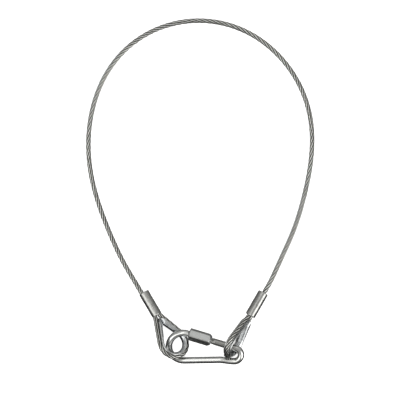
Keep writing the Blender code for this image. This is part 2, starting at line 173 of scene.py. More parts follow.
def smooth_curve(points, start, end, fine=40):
    """A dense polyline on the smooth curve through the points, with these directions at its ends."""
    p = np.array([list(q) for q in points], float)
    h = np.linalg.norm(np.diff(p, axis=0), axis=1)
    n = len(p)
    a, b = np.zeros((n, n)), np.zeros((n, 3))
    a[0, 0] = a[-1, -1] = 1.0
    b[0], b[-1] = np.array(start), np.array(end)
    for i in range(1, n - 1):
        a[i, i - 1], a[i, i], a[i, i + 1] = h[i], 2 * (h[i - 1] + h[i]), h[i - 1]
        b[i] = 3 * (h[i] * (p[i] - p[i - 1]) / h[i - 1] + h[i - 1] * (p[i + 1] - p[i]) / h[i])
    m = np.linalg.solve(a, b)
    made = []
    for i in range(n - 1):
        for u in np.linspace(0, 1, fine, endpoint=i == n - 2):
            made.append(
                (2 * u**3 - 3 * u**2 + 1) * p[i]
                + (u**3 - 2 * u**2 + u) * h[i] * m[i]
                + (3 * u**2 - 2 * u**3) * p[i + 1]
                + (u**3 - u**2) * h[i] * m[i + 1]
            )
    return np.array(made)


def carried_frames(points, first):
    """Tangent and two normals at each point, carried along without twist."""
    tangent = np.gradient(points, axis=0)
    tangent /= np.linalg.norm(tangent, axis=1)[:, None]
    normal = np.zeros_like(points)
    n = np.array(first, float)
    n -= tangent[0] * (n @ tangent[0])
    normal[0] = n / np.linalg.norm(n)
    for i in range(1, len(points)):
        n = normal[i - 1] - tangent[i] * (normal[i - 1] @ tangent[i])
        normal[i] = n / np.linalg.norm(n)
    return tangent, normal, np.cross(tangent, normal)


def smoothstep(x):
    x = np.clip(x, 0.0, 1.0)
    return x * x * (3 - 2 * x)


def leg_angle():
    angle = math.radians(20)
    for _ in range(60):
        angle += 0.6 * (EYE_R - NEAR * math.sin(angle) - LEG_OFFSET * math.cos(angle)) / NEAR
    return angle


LEG = leg_angle()


def leg_height(back):
    return EYE_R / math.cos(LEG) - back * math.tan(LEG)


def squeeze(into):
    """The rope's radius, from outside a ferrule's face to well inside it; into is the distance past the face."""
    return ROPE_R + (PRESSED_R - ROPE_R) * smoothstep((into + 1.7 * MM) / (4.2 * MM))


def leg_offset(back):
    """A leg's distance from the eye's axis, straight outside the ferrule and easing to the pressed place inside it."""
    a, b = NEAR - 1.4 * MM, NEAR + 1.8 * MM
    if back <= a:
        return leg_height(back)
    if back >= b:
        return PRESSED_OFFSET
    u, h = (back - a) / (b - a), b - a
    return (
        (2 * u**3 - 3 * u**2 + 1) * leg_height(a)
        + (u**3 - 2 * u**2 + u) * h * -math.tan(LEG)
        + (3 * u**2 - 2 * u**3) * PRESSED_OFFSET
    )


# ---------------------------------------------------------------- mesh helpers


def mesh_object(name, verts, faces, matrix=None, attributes=None, uv=None, sharp=None):
    """A shaded-smooth mesh piece. uv holds one pair a vertex; sharp says which edges stay sharp, from their two vertices."""
    faces = facing_out(verts, faces)
    data = bpy.data.meshes.new(name)
    verts = np.asarray(verts, np.float32)
    data.vertices.add(len(verts))
    data.vertices.foreach_set("co", verts.ravel())
    sizes = [len(f) for f in faces]
    flat = np.fromiter((i for f in faces for i in f), np.int32, sum(sizes))
    data.loops.add(len(flat))
    data.loops.foreach_set("vertex_index", flat)
    data.polygons.add(len(faces))
    data.polygons.foreach_set("loop_start", np.concatenate([[0], np.cumsum(sizes)[:-1]]).astype(np.int32))
    data.update(calc_edges=True)
    data.validate()
    data.polygons.foreach_set("use_smooth", np.ones(len(data.polygons), bool))
    for key, values in (attributes or {}).items():
        made = data.attributes.new(key, "FLOAT", "POINT")
        made.data.foreach_set("value", np.asarray(values, np.float32))
    if uv is not None:
        layer = data.uv_layers.new(name="Along")
        index = np.zeros(len(data.loops), np.int32)
        data.loops.foreach_get("vertex_index", index)
        layer.data.foreach_set("uv", np.asarray(uv, np.float32)[index].ravel())
    if sharp is not None:
        pairs = np.zeros(len(data.edges) * 2, np.int32)
        data.edges.foreach_get("vertices", pairs)
        pairs = pairs.reshape(-1, 2)
        data.edges.foreach_set("use_edge_sharp", sharp(pairs[:, 0], pairs[:, 1]))
    data.update()
    obj = bpy.data.objects.new(name, data)
    bpy.context.scene.collection.objects.link(obj)
    if matrix is not None:
        settle(obj, matrix)
    return obj


def settle(obj, matrix):
    """Keep the piece's own coordinates for its material, then put its mesh in its place."""
    data = obj.data
    own = np.zeros(len(data.vertices) * 3, np.float32)
    data.vertices.foreach_get("co", own)
    made = data.attributes.new("own", "FLOAT_VECTOR", "POINT")
    made.data.foreach_set("vector", own)
    data.transform(matrix)
    data.update()


def facing_out(verts, faces):
    """The faces, turned round if they enclose a negative volume."""
    verts = np.asarray(verts, float)
    total = 0.0
    quads = np.array([f for f in faces if len(f) == 4])
    if len(quads):
        for a, b, c in ((0, 1, 2), (0, 2, 3)):
            total += np.einsum("ij,ij->", verts[quads[:, a]], np.cross(verts[quads[:, b]], verts[quads[:, c]]))
    for f in faces:
        if len(f) != 4:
            for b, c in zip(f[1:-1], f[2:]):
                total += float(verts[f[0]] @ np.cross(verts[b], verts[c]))
    return faces if total > 0 else [f[::-1] for f in faces]


def ring_faces(rings, sides, base=0, caps=True):
    """Quads of a tube of closed rings, with a fan-free cap at each end."""
    i, j = np.meshgrid(np.arange(rings - 1), np.arange(sides), indexing="ij")
    k = (j + 1) % sides
    quads = np.stack([i * sides + j, i * sides + k, (i + 1) * sides + k, (i + 1) * sides + j], axis=-1).reshape(-1, 4)
    faces = (quads + base).tolist()
    if caps:
        faces.append([base + s for s in range(sides)][::-1])
        faces.append([base + (rings - 1) * sides + s for s in range(sides)])
    return faces


def baked(obj):
    """The object with its modifiers applied."""
    graph = bpy.context.evaluated_depsgraph_get()
    graph.update()
    data = bpy.data.meshes.new_from_object(obj.evaluated_get(graph))
    obj.modifiers.clear()
    obj.data = data
    return obj


def cut(obj, cutter):
    change = obj.modifiers.new("Cut", "BOOLEAN")
    change.operation = "DIFFERENCE"
    change.solver = "EXACT"
    change.object = cutter
    baked(obj)
    bpy.data.objects.remove(cutter, do_unlink=True)
    return obj


# ---------------------------------------------------------------- rope


def strand_outline():
    """The outline of seven wires laid together, six of them showing, as radii over one turn, crown = 1."""
    made = []
    for _ in range(6):
        for i in range(LOBE_POINTS):
            made.append(1 - WIRE_DIP * abs(2 * i / LOBE_POINTS - 1) ** 1.7)
    return np.array(made)


def laid_rope(name, points, radii, phase, matrix=None):
    """Six strands of wires laid right-handed round a core strand, each with its wires laid the other way."""
    s = lengths(points)
    tangent, normal, side = carried_frames(points, (0.13, 0.07, 1.0))
    outline = strand_outline()
    sides = len(outline)
    rings = len(points)
    verts, faces, uv, groove, tone = [], [], [], [], []
    for k in range(STRANDS):
        turn = phase + 2 * math.pi * k / STRANDS + 2 * math.pi * s / LAY
        out = normal * np.cos(turn)[:, None] + side * np.sin(turn)[:, None]
        strand_r = radii * STRAND_R
        centre = points + out * (radii * (1 - STRAND_R))[:, None]
        along = np.gradient(centre, axis=0)
        along /= np.linalg.norm(along, axis=1)[:, None]
        e = out - along * np.sum(out * along, axis=1)[:, None]
        e /= np.linalg.norm(e, axis=1)[:, None]
        f = np.cross(along, e)
        base = sum(len(v) for v in verts)
        around = 2 * math.pi * np.arange(sides) / sides
        spin = around[None, :] - (2 * math.pi * s / WIRE_LAY)[:, None] + 0.7 * k
        rho = strand_r[:, None] * outline[None, :]
        ring = (
            centre[:, None, :]
            + e[:, None, :] * (rho * np.cos(spin))[:, :, None]
            + f[:, None, :] * (rho * np.sin(spin))[:, :, None]
        )
        away = np.linalg.norm(ring - points[:, None, :], axis=2) / radii[:, None]
        # groove: painted shade with some dirt, darkest deep between the strands, lighter along the lines between wires
        deep = smoothstep((0.975 - away) / 0.19)
        valley = np.clip((1.0 - outline) / WIRE_DIP, 0, 1)
        groove.append(np.clip(deep + valley[None, :] * 0.22, 0, 1).ravel())
        verts.append(ring.reshape(-1, 3))
        wire = np.floor(np.arange(sides) / LOBE_POINTS)
        tone.append(np.broadcast_to((0.5 + 0.5 * np.sin(wire * 2.4 + k * 1.7))[None, :], (rings, sides)).ravel())
        uv.append(
            np.stack(
                [
                    np.broadcast_to(around[None, :] / (2 * math.pi) + 1.37 * k, (rings, sides)),
                    np.broadcast_to(s[:, None] / (10 * MM), (rings, sides)),
                ],
                axis=-1,
            ).reshape(-1, 2)
        )
        faces += ring_faces(rings, sides, base)
    base = sum(len(v) for v in verts)
    every = max(1, int(round(2.0 * MM / (s[1] - s[0]))))
    keep = list(range(0, rings - 1, every)) + [rings - 1]
    core = 10
    around = 2 * math.pi * np.arange(core) / core
    ring = points[keep][:, None, :] + (radii[keep] * 0.36)[:, None, None] * (
        normal[keep][:, None, :] * np.cos(around)[None, :, None] + side[keep][:, None, :] * np.sin(around)[None, :, None]
    )
    verts.append(ring.reshape(-1, 3))
    # the core strand showing between the strands is painted fully in shade
    groove.append(np.ones(len(keep) * core))
    tone.append(np.zeros(len(keep) * core))
    uv.append(np.zeros((len(keep) * core, 2)))
    faces += ring_faces(len(keep), core, base)
    strand_total = STRANDS * rings * sides

    def sharp(a, b):
        same = (a < strand_total) & (b < strand_total)
        return same & (a % sides % LOBE_POINTS == 0) & (b % sides % LOBE_POINTS == 0) & ((a - b) % sides == 0)

    return mesh_object(
        name,
        np.concatenate(verts),
        faces,
        matrix,
        {"groove": np.concatenate(groove), "tone": np.concatenate(tone)},
        np.concatenate(uv),
        sharp,
    )


def span_path(left, right):
    """The free rope's centre line, from inside the left ferrule to inside the right one, with its radius at each point."""
    back = FAR + CLEAR
    leave = left @ Vector((-back, -LEG_OFFSET, 0))
    arrive = right @ Vector((-back, LEG_OFFSET, 0))
    left_out = -(left.to_3x3() @ Vector((1, 0, 0)))
    right_in = right.to_3x3() @ Vector((1, 0, 0))
    route = [leave, leave + left_out * 6 * MM] + [Vector(p) * MM for p in ROUTE]
    route += [arrive - right_in * 6 * MM, arrive]
    free = smooth_curve(route, left_out, right_in)
    inside = 2.9 * MM
    head, tail = [], []
    for i in range(12, 0, -1):
        into = (inside + CLEAR) * i / 12 - CLEAR  # past the ferrule's face
        off = LEG_OFFSET + (PRESSED_OFFSET - LEG_OFFSET) * smoothstep((into + CLEAR) / (inside * 0.9))
        head.append(left @ Vector((-(FAR - into), -off, 0)))
        tail.append(right @ Vector((-(FAR - into), off, 0)))
    whole = np.concatenate([np.array(head), free, np.array(tail[::-1])])
    total = lengths(whole)[-1]
    steps = int(round(total / RING))
    at = np.linspace(0, total, steps + 1)
    points = resample(whole, at)
    into = np.maximum(inside - at, inside - (total - at))
    return points, squeeze(into)


def eye_path(live):
    """The rope through one eye, in the eye's frame: out of the ferrule, round the thimble and back in."""
    first = math.pi / 2 + LEG
    deep = {1: FAR - 3.1 * MM, -1: FAR - 1.4 * MM}
    reach = (EYE_R * math.sin(LEG)) / 1.0
    made = []
    for side, start in ((live, deep[1]), (-live, deep[-1])):
        leg = [Vector((-b, side * leg_offset(b), 0)) for b in np.linspace(start, reach + 0.4 * MM, 90)]
        made.append(leg)
    arc = [
        Vector((EYE_R * math.cos(live * (first - 2 * first * i / 90)), EYE_R * math.sin(live * (first - 2 * first * i / 90)), 0))
        for i in range(91)
    ]
    whole = np.array([list(p) for p in made[0] + arc + made[1][::-1]])
    total = lengths(whole)[-1]
    steps = int(round(total / (RING * 0.8)))
    points = resample(whole, np.linspace(0, total, steps + 1))
    into = -points[:, 0] - NEAR
    return points, squeeze(into)


# ---------------------------------------------------------------- ferrules


def rope_cutter(points, radii):
    """A smooth tube a little wider than the rope, to open a ferrule's mouth for it."""
    tangent, normal, side = carried_frames(points, (0.13, 0.07, 1.0))
    around = 2 * math.pi * np.arange(28) / 28
    ring = points[:, None, :] + radii[:, None, None] * (
        normal[:, None, :] * np.cos(around)[None, :, None] + side[:, None, :] * np.sin(around)[None, :, None]
    )
    return mesh_object("mouth_cutter", ring.reshape(-1, 3), ring_faces(len(points), 28))


def ferrule(name, matrix, live, seed):
    """A pressed sleeve: softly rounded ends, two faint flash lines where the dies met, and mouths that hug the rope."""
    rng = np.random.default_rng(seed)
    sides, edge = 96, 0.42 * MM
    profile = [(FAR - 0.0 * MM, 0.0)]
    profile += [(FAR, r) for r in np.linspace(0.4, FERRULE_R / MM - 0.5, 7) * MM]
    for i in range(9):
        turn = math.pi / 2 * i / 8
        profile.append((FAR - edge + edge * math.cos(turn), FERRULE_R - edge + edge * math.sin(turn)))
    profile += [(b, FERRULE_R) for b in np.linspace(FAR - edge, NEAR + edge, 60)[1:-1]]
    for i in range(9):
        turn = math.pi / 2 * (1 - i / 8)
        profile.append((NEAR + edge - edge * math.cos(turn), FERRULE_R - edge + edge * math.sin(turn)))
    profile += [(NEAR, r) for r in np.linspace(FERRULE_R / MM - 0.5, 0.4, 7) * MM]
    profile.append((NEAR, 0.0))
    waves = [(rng.integers(1, 5), rng.uniform(0.6, 2.2) / (10 * MM), rng.uniform(0, 6.3), rng.uniform(0, 6.3)) for _ in range(7)]
    around = 2 * math.pi * np.arange(sides) / sides
    verts, worn = [(-profile[0][0], 0, 0)], [0.0]
    for back, r in profile[1:-1]:
        full = smoothstep((r - 0.55 * FERRULE_R) / (0.45 * FERRULE_R))
        wave = sum(np.sin(n * around + a) * math.sin(2 * math.pi * f * back + b) for n, f, a, b in waves)
        flash = sum(np.exp(-(((around - at + math.pi) % (2 * math.pi) - math.pi) / 0.05) ** 2) for at in (1.25, 1.25 + math.pi))
        dent = 0.012 * MM * wave * full - 0.01 * MM + 0.035 * MM * flash * full * smoothstep((back - NEAR) / (1.2 * MM)) * smoothstep((FAR - back) / (1.2 * MM))
        radius = np.minimum(r + dent, FERRULE_R + 0.03 * MM)
        for a, q in zip(around, radius):
            verts.append((-back, q * math.cos(a), q * math.sin(a)))
            rounded = 1.0 if 0 < abs(r - FERRULE_R) < edge else 0.0
            worn.append(rounded)
    verts.append((-profile[-1][0], 0, 0))
    worn.append(0.0)
    rings = len(profile) - 2
    faces = [[f[0] + 1, f[1] + 1, f[2] + 1, f[3] + 1] for f in ring_faces(rings, sides, caps=False)]
    last = len(verts) - 1
    faces += [[0, 1 + (j + 1) % sides, 1 + j] for j in range(sides)]
    tail = 1 + (rings - 1) * sides
    faces += [[last, tail + j, tail + (j + 1) % sides] for j in range(sides)]
    obj = mesh_object(name, verts, faces, None, {"worn": worn})
    local = []
    for side in (live, -live):
        backs = np.linspace(NEAR - 2.4 * MM, NEAR + 3.6 * MM, 26)
        points = np.array([(-b, side * leg_offset(b), 0) for b in backs])
        radii = squeeze(backs - NEAR) + 0.05 * MM
        local.append((points[::-1], radii[::-1]))
    backs = np.linspace(FAR - 3.4 * MM, FAR + 2.0 * MM, 22)
    into = FAR - backs
    off = LEG_OFFSET + (PRESSED_OFFSET - LEG_OFFSET) * smoothstep((into + CLEAR) / (2.9 * MM * 0.9))
    local.append((np.stack([-backs, live * off, backs * 0], axis=1), squeeze(into) + 0.05 * MM))
    for points, radii in local:
        cut(obj, rope_cutter(points, radii))
    settle(obj, matrix)
    obj.data.polygons.foreach_set("use_smooth", np.ones(len(obj.data.polygons), bool))
    obj.data.set_sharp_from_angle(angle=math.radians(38))
    return obj


# ---------------------------------------------------------------- thimbles


def web_depth(x, y, inward):
    """How far the web's inner skin lies from the rope's centre line, measured towards the teardrop hole."""
    hole_r = THIMBLE_HOLE_R
    lean = math.asin(hole_r / THIMBLE_POINT)
    if x > -hole_r * math.sin(lean):
        return THIMBLE_DEPTH
    side = (math.cos(lean), math.sin(lean))
    cross = inward[0] * side[1] - inward[1] * side[0]
    gap = (-THIMBLE_POINT - x, THIMBLE_SPLIT - y)
    to_side = (gap[0] * side[1] - gap[1] * side[0]) / cross
    to_axis = (THIMBLE_SPLIT - y) / inward[1]
    if x > -THIMBLE_POINT:
        return max(THIMBLE_DEPTH, min(to_side, to_axis))
    return min(to_side if to_side > 0 else to_axis, to_axis)


THIMBLE_HOLE_R = EYE_R - THIMBLE_DEPTH


def channel_section(depth, wall, reach):
    """One station's outline: the skin round to each lip, a rolled lip, and back along the groove. u runs to the hole."""
    bulge = depth - THIMBLE_HALF
    low = max(-1.0, min(1.0, (THIMBLE_LIP - bulge) / THIMBLE_HALF))
    turn = min(math.acos(low) if bulge < THIMBLE_LIP else math.pi / 2, reach)
    straight = max(0.0, bulge - THIMBLE_LIP) if reach > math.pi / 2 - 0.01 else 0.0
    arc = THIMBLE_HALF * turn
    total = arc + straight - 0.4 * wall
    mid_outer, mid_inner = [], []
    steps = 14
    for i in range(steps + 1):
        run = total * i / steps
        angle, past = min(run, arc) / THIMBLE_HALF, max(0.0, run - arc)
        mid_outer.append((bulge + THIMBLE_HALF * math.cos(angle) - past, THIMBLE_HALF * math.sin(angle)))
        inner = THIMBLE_HALF - wall
        mid_inner.append((bulge + inner * math.cos(angle) - past, inner * math.sin(angle)))
    out = (math.cos(angle), math.sin(angle))
    on = (-math.sin(angle), math.cos(angle))
    centre = ((mid_outer[-1][0] + mid_inner[-1][0]) / 2, (mid_outer[-1][1] + mid_inner[-1][1]) / 2)
    lip = []
    for i in range(1, 7):
        swing = math.pi * i / 7
        a, b = math.cos(swing) * wall / 2, math.sin(swing) * wall / 2
        lip.append((centre[0] + a * out[0] + b * on[0], centre[1] + a * out[1] + b * on[1]))
    skin = [(u, -w) for u, w in mid_outer[:0:-1]] + mid_outer
    groove = mid_inner[::-1] + [(u, -w) for u, w in mid_inner[1:]]
    far_lip = [(u, -w) for u, w in lip[::-1]]
    worn = [0.0] * len(skin) + [1.0] * len(lip) + [0.0] * len(groove) + [1.0] * len(lip)
    for i in range(3):
        worn[i] = worn[len(skin) - 1 - i] = 0.75 - 0.25 * i
    inside = [0.0] * len(skin) + [0.4] * len(lip) + [1.0] * len(groove) + [0.4] * len(lip)
    return skin + lip + groove + far_lip, worn, inside


def thimble(name, matrix):
    """A formed channel with rolled lips, lofted round the teardrop, its legs thinning to rounded points."""
    first = math.pi / 2 + LEG
    near = EYE_R * math.sin(LEG)
    backs = np.concatenate([np.linspace(THIMBLE_TIP, THIMBLE_TIP - 1.6 * MM, 20), np.linspace(THIMBLE_TIP - 1.6 * MM, near, 60)[1:]])
    leg = [(-b, leg_height(b)) for b in backs]
    arc = [
        (EYE_R * math.cos(first - 2 * first * i / 140), EYE_R * math.sin(first - 2 * first * i / 140)) for i in range(1, 140)
    ]
    path = np.array([(x, y, 0.0) for x, y in leg + arc + [(x, -y) for x, y in leg[::-1]]])
    tangent = np.gradient(path, axis=0)
    tangent /= np.linalg.norm(tangent, axis=1)[:, None]
    rows, worn, inside = [], [], []
    s = lengths(path)
    for p, t in zip(path, tangent):
        inward = np.array([t[1], -t[0], 0.0])
        if inward @ p > 0:
            inward = -inward
        depth = web_depth(p[0], abs(p[1]), (inward[0], -abs(inward[1]))) if p[0] < 0 else THIMBLE_DEPTH
        back = -p[0]
        taper = max(0.0, min(1.0, (back - THIMBLE_TAPER) / (THIMBLE_TIP - THIMBLE_TAPER)))
        wall = THIMBLE_WALL + (THIMBLE_TIP_WALL - THIMBLE_WALL) * taper
        reach = math.pi + (math.asin(THIMBLE_TIP_HALF / THIMBLE_HALF) - math.pi) * taper
        close = max(0.0, (back - (THIMBLE_TIP - 1.3 * MM)) / (1.3 * MM))
        reach *= math.sqrt(max(0.06, 1 - 0.97 * close**2))
        section, wear, groove = channel_section(depth, wall, reach)
        rows.append([p + inward * u + np.array([0.0, 0.0, w]) for u, w in section])
        worn += wear
        inside += groove
    sides = len(rows[0])
    turns = np.tile(np.linspace(0, 1, sides), len(path))
    uv = np.stack([turns * 2, np.repeat(s, sides) / (10 * MM)], axis=1)
    return mesh_object(
        name, np.array(rows).reshape(-1, 3), ring_faces(len(path), sides), matrix, {"worn": worn, "inside": inside}, uv
    )


# ---------------------------------------------------------------- link and nut


def link_path():
    """The wire's centre line in the link's plane, dense, with how far each point lies along it from each stud's end."""
    lean = math.asin((BOW_R - BULB_R) / BULB_AT)
    bar = np.array([math.cos(lean), -math.sin(lean), 0])
    bar_start = np.array([BOW_R * math.sin(lean), BOW_R * math.cos(lean), 0])
    bulb = np.array([BULB_AT, 0, 0])
    neck = np.array([*NECK, 0])
    reach = math.hypot(neck[0], neck[1])
    low = math.atan2(neck[1], neck[0]) - math.acos(BOW_R / reach)
    points = [bar_start + bar * s for s in np.linspace(STUD_LEFT_END, 0.1 * MM, 30)]
    first, last = math.pi / 2 - lean, 2 * math.pi + low
    points += [BOW_R * np.array([math.cos(t), math.sin(t), 0]) for t in np.linspace(first, last, 110)]
    foot = BOW_R * np.array([math.cos(low), math.sin(low), 0])
    points += [foot + (neck - foot) * u for u in np.linspace(0.02, 0.92, 40)]
    ease_from, ease_to = foot + (neck - foot) * 0.94, math.radians(-72)
    land = bulb + BULB_R * np.array([math.cos(ease_to), math.sin(ease_to), 0])
    pull_a = (neck - foot) / np.linalg.norm(neck - foot) * 3.2 * MM
    pull_b = np.array([-math.sin(ease_to), math.cos(ease_to), 0]) * 5.2 * MM
    for u in np.linspace(0, 1, 26):
        points.append(
            (2 * u**3 - 3 * u**2 + 1) * ease_from
            + (u**3 - 2 * u**2 + u) * pull_a
            + (3 * u**2 - 2 * u**3) * land
            + (u**3 - u**2) * pull_b
        )
    points += [bulb + BULB_R * np.array([math.cos(t), math.sin(t), 0]) for t in np.linspace(ease_to, math.pi / 2 - lean, 60)[1:]]
    bar_length = BULB_AT * math.cos(lean)
    points += [bar_start + bar * s for s in np.linspace(bar_length - 0.1 * MM, STUD_RIGHT_END, 60)]
    return np.array(points), bar_start, bar


def thread(around, along, depth_share):
    """How deep the cut is, 0 on a crest and 1 in a root, round one ring; flat crests and roots."""
    u = (along / THREAD_PITCH - around / (2 * math.pi)) % 1.0
    v = np.abs(u - 0.5) * 2  # 1 on the crest line, 0 in the root
    return (1 - smoothstep((v - 0.12) / 0.62)) * depth_share


def link_wire(name, matrix):
    """The bent wire with a chamfered, threaded stud at each end, inside the sleeve nut."""
    points, _, _ = link_path()
    total = lengths(points)[-1]
    cut_left = STUD_LEFT_END - NUT_FROM + 1.5 * MM
    cut_right = NUT_FROM + NUT_LEN - STUD_RIGHT_END + 2.2 * MM
    fine = 0.07 * MM
    at = np.concatenate(
        [
            np.arange(0, cut_left, fine),
            np.arange(cut_left, total - cut_right, 0.3 * MM),
            np.arange(total - cut_right, total, fine),
            [total],
        ]
    )
    path = resample(points, at)
    tangent, normal, side = carried_frames(path, (0.0, 0.0, 1.0))
    sides = 40
    around = 2 * math.pi * np.arange(sides) / sides
    rows, root, worn, painted_bar_shade = [], [], [], []
    for i, d in enumerate(at):
        far = total - d
        # painted shade: the bar from the nut to the bulb is darkened, standing in for the darker reflection it shows
        painted_bar_shade.append(smoothstep((BULB_AT - STUD_RIGHT_END + 1.0 * MM - far) / (3.0 * MM)))
        left_share = smoothstep((cut_left - d) / (0.9 * MM)) if d < cut_left else 0.0
        right_share = smoothstep((cut_right - far) / (1.2 * MM)) if far < cut_right else 0.0
        share = max(left_share, right_share)
        reach = d if left_share > 0 else -far
        deep = thread(around, reach, share)
        chamfer = max(0.0, 0.5 * MM - min(d, far)) * 0.85
        radius = np.minimum(WIRE_R - deep * THREAD_DEPTH, WIRE_R - chamfer)
        rows.append(
            path[i]
            + radius[:, None] * (normal[i][None, :] * np.cos(around)[:, None] + side[i][None, :] * np.sin(around)[:, None])
        )
        # root: how deep the thread is cut here, used in the material as painted shade in the thread roots
        root.append(deep)
        worn.append(np.full(sides, share) * (1 - deep))
    uv = np.stack(
        [np.tile(around / (2 * math.pi), len(at)), np.repeat(at, sides) / (10 * MM)],
        axis=1,
    )
    return mesh_object(
        name,
        np.array(rows).reshape(-1, 3),
        ring_faces(len(at), sides),
        matrix,
        {"root": np.array(root).ravel(), "worn": np.array(worn).ravel(), "painted_bar_shade": np.repeat(np.array(painted_bar_shade, float), sides)},
        uv,
        lambda a, b: ((a // sides == b // sides) & ((a // sides == 0) | (a // sides == len(at) - 1))),
    )


def soft_min(a, b, k):
    h = np.clip(0.5 + 0.5 * (b - a) / k, 0, 1)
    return b * (1 - h) + a * h - k * h * (1 - h)


def sleeve_nut(name, matrix):
    """A long hexagonal nut: rounded corners, turned and chamfered ends, and a threaded bore with a plain mouth."""
    _, bar_start, bar = link_path()
    turn = matrix.to_3x3()
    start = matrix @ Vector(bar_start + bar * NUT_FROM)
    along = (turn @ Vector(bar)).normalized()
    up = Vector((0, 0, 1)) - along * along.z
    up.normalize()
    side = up.cross(along)
    flat = up * math.cos(NUT_TURN) + side * math.sin(NUT_TURN)
    corner = Matrix.Rotation(math.radians(30), 3, along) @ flat
    place = frame_matrix(start + along * NUT_LEN / 2, corner, along.cross(corner), along)
    half = NUT_LEN / 2
    inner = NUT_FLATS / 2
    corner_r = inner / math.cos(math.radians(30))
    # more points near the six corners
    share = np.linspace(0, 1, 21)[:-1]
    bend = share + 0.11 * np.sin(2 * math.pi * share)
    around = np.concatenate([(k + bend) * math.pi / 3 for k in range(6)])
    off_flat = (around + math.pi / 6) % (math.pi / 3) - math.pi / 6  # 0 at a corner
    to_flat = np.minimum(np.abs(off_flat), math.pi / 3 - np.abs(off_flat))
    hexagon = inner / np.cos(math.pi / 6 - np.abs(off_flat))
    hexagon = soft_min(hexagon, np.full_like(hexagon, corner_r - 0.10 * MM), 0.16 * MM)
    z_rows = np.concatenate(
        [
            np.linspace(-half, -half + 1.3 * MM, 30),
            np.linspace(-half + 1.3 * MM, half - 2.5 * MM, 24)[1:-1],
            np.linspace(half - 2.5 * MM, half, 48),
        ]
    )
    rows, worn, kinds = [], [], []

    def add_row(z, radius, wear, kind):
        rows.append(np.stack([radius * np.cos(around), radius * np.sin(around), np.full_like(around, z)], axis=1))
        worn.append(wear)
        kinds.append(np.full_like(around, kind))

    corner_wear = smoothstep(1 - np.abs(off_flat) / 0.09)
    for z in z_rows:
        end = half - abs(z)
        long, end_r = (NUT_CONE, NUT_CONE_R) if z > 0 else (NUT_CHAMFER, NUT_END_R)
        cone = end_r + 0.02 * MM + end * (corner_r - end_r) / long
        radius = soft_min(hexagon, np.full_like(hexagon, cone), 0.06 * MM)
        edge_round = 0.14 * MM
        if end < edge_round:
            radius = radius - (edge_round - math.sqrt(max(0.0, edge_round**2 - (edge_round - end) ** 2)))
        wear = np.maximum(corner_wear * (1 if end > long else 0.4), smoothstep(1 - np.abs(hexagon - cone) / (0.10 * MM)) * 0.8)
        add_row(z, radius, wear, 0.0)
    # the end face, the countersunk mouth and the threaded bore, then out again at the other end
    bore = NUT_BORE_R
    ones = np.ones_like(around)
    for radius in np.linspace(NUT_CONE_R - 0.14 * MM, bore + 0.25 * MM, 5)[1:]:
        add_row(half, radius * ones, ones * 0.0, 0.3)
    steps = int(round(NUT_LEN / (0.1 * MM)))
    for i in range(1, steps):
        z = half - NUT_LEN * i / steps
        end = half - abs(z)
        sink = max(0.0, 0.25 * MM - end)
        share_in = smoothstep((end - 0.3 * MM) / (0.8 * MM))
        deep = 1 - thread(around, z, 1.0)
        # the bore's rows are marked 1.0 and painted dark as shade in the material
        add_row(z, bore + sink - deep * share_in * 0.22 * MM, ones * 0.0, 1.0)
    for radius in np.linspace(bore + 0.25 * MM, NUT_END_R - 0.14 * MM, 5)[:-1]:
        add_row(-half, radius * ones, ones * 0.0, 0.3)
    sides = len(around)
    count = len(rows)
    i, j = np.meshgrid(np.arange(count), np.arange(sides), indexing="ij")
    k = (j + 1) % sides
    n = (i + 1) % count
    faces = np.stack([i * sides + j, i * sides + k, n * sides + k, n * sides + j], axis=-1).reshape(-1, 4).tolist()
    verts = np.array(rows).reshape(-1, 3)
    obj = mesh_object(name, verts, faces, place, {"worn": np.array(worn).ravel(), "bore": np.array(kinds).ravel()})
    obj.data.set_sharp_from_angle(angle=math.radians(50))
    return obj


# ---------------------------------------------------------------- materials


